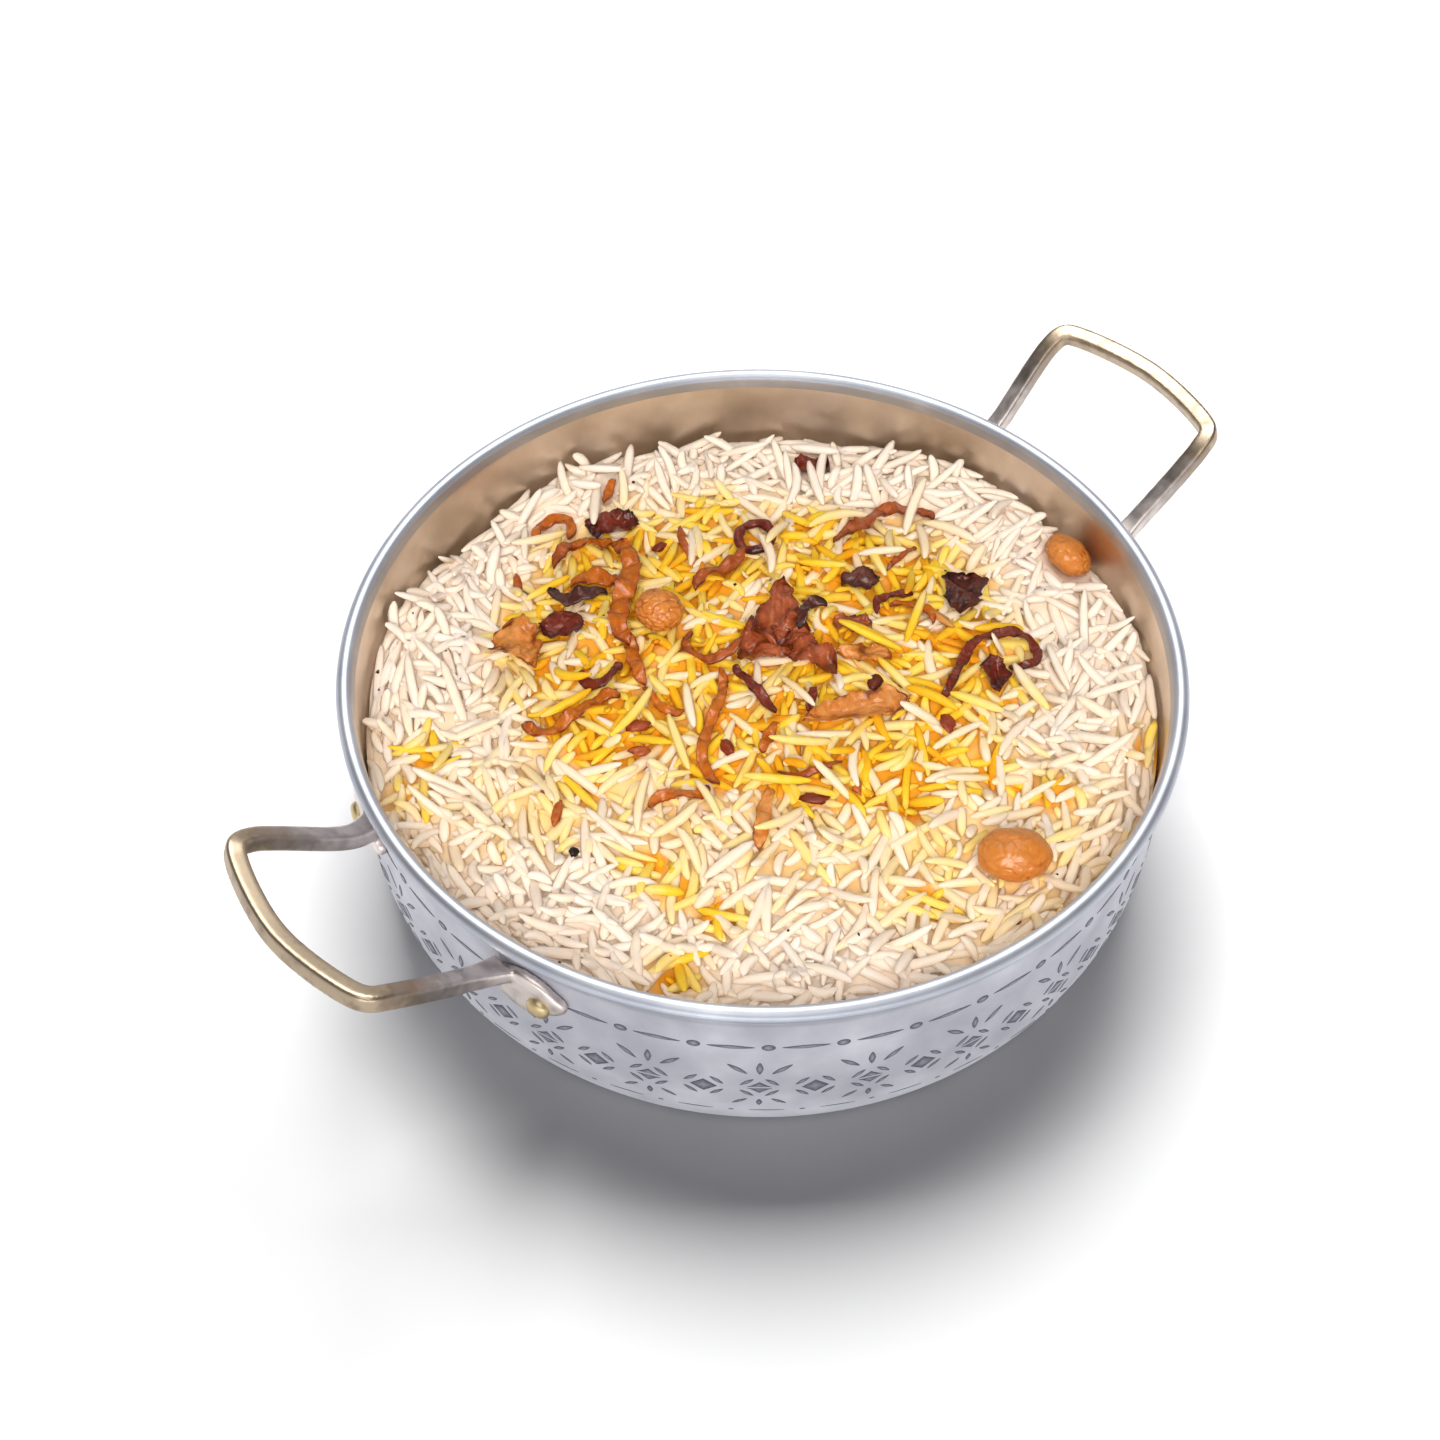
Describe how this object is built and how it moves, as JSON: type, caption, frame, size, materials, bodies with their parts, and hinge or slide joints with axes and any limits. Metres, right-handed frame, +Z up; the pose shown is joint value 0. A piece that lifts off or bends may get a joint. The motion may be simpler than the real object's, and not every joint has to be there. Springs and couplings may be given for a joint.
{
  "type": "serving pan of saffron rice",
  "caption": "Round two-handled steel serving pan, filled with saffron-streaked long-grain rice topped with fried onions and raisins.",
  "frame": {"origin": "centre of the pan's flat base, at the level of the surface that it stands on", "axes": "+X through the middle of one handle, +Z up along the pan's axis, +Y to the left when looking along +X"},
  "size_m": [0.2444, 0.18, 0.0647],
  "materials": {
    "pan_steel": "satin, polished on the rim",
    "handle_brass": "aged, worn bright along the grip",
    "rivet_brass": "satin",
    "rice_grains": "moist, soft",
    "raisin_skin": "wrinkled, slightly shiny",
    "onion_brown": "crisp, oily",
    "onion_dark": "crisp, oily",
    "onion_golden": "crisp, oily"
  },
  "bodies": {
    "root": {"bowl": "pan_steel", "handle_right": "handle_brass", "handle_left": "handle_brass", "rivet_right_1": "rivet_brass", "rivet_right_2": "rivet_brass", "rivet_left_1": "rivet_brass", "rivet_left_2": "rivet_brass", "rice": "rice_grains", "raisin_front": "raisin_skin", "raisin_middle": "raisin_skin", "raisin_back": "raisin_skin", "onion_ring": "onion_brown", "onion_strip_01": "onion_golden", "onion_strip_02": "onion_golden", "onion_strip_03": "onion_golden", "onion_strip_04": "onion_dark", "onion_strip_05": "onion_dark", "onion_strip_06": "onion_golden", "onion_strip_07": "onion_brown", "onion_strip_08": "onion_brown", "onion_strip_09": "onion_dark", "onion_strip_10": "onion_brown", "onion_strip_11": "onion_brown", "onion_strip_12": "onion_golden", "onion_strip_13": "onion_dark", "onion_strip_14": "onion_golden", "onion_strip_15": "onion_brown", "onion_strip_16": "onion_golden", "onion_strip_17": "onion_golden", "onion_strip_18": "onion_brown", "onion_strip_19": "onion_golden", "onion_strip_20": "onion_dark", "onion_strip_21": "onion_golden", "onion_strip_22": "onion_brown", "onion_strip_23": "onion_dark", "onion_flake_01": "onion_dark", "onion_flake_02": "onion_dark", "onion_flake_03": "onion_golden", "onion_flake_04": "onion_brown", "onion_flake_05": "onion_brown", "onion_flake_06": "onion_dark", "onion_flake_07": "onion_dark", "onion_flake_08": "onion_dark", "onion_flake_09": "onion_golden", "onion_flake_10": "onion_golden", "onion_flake_11": "onion_brown"}
  },
  "joints": []
}
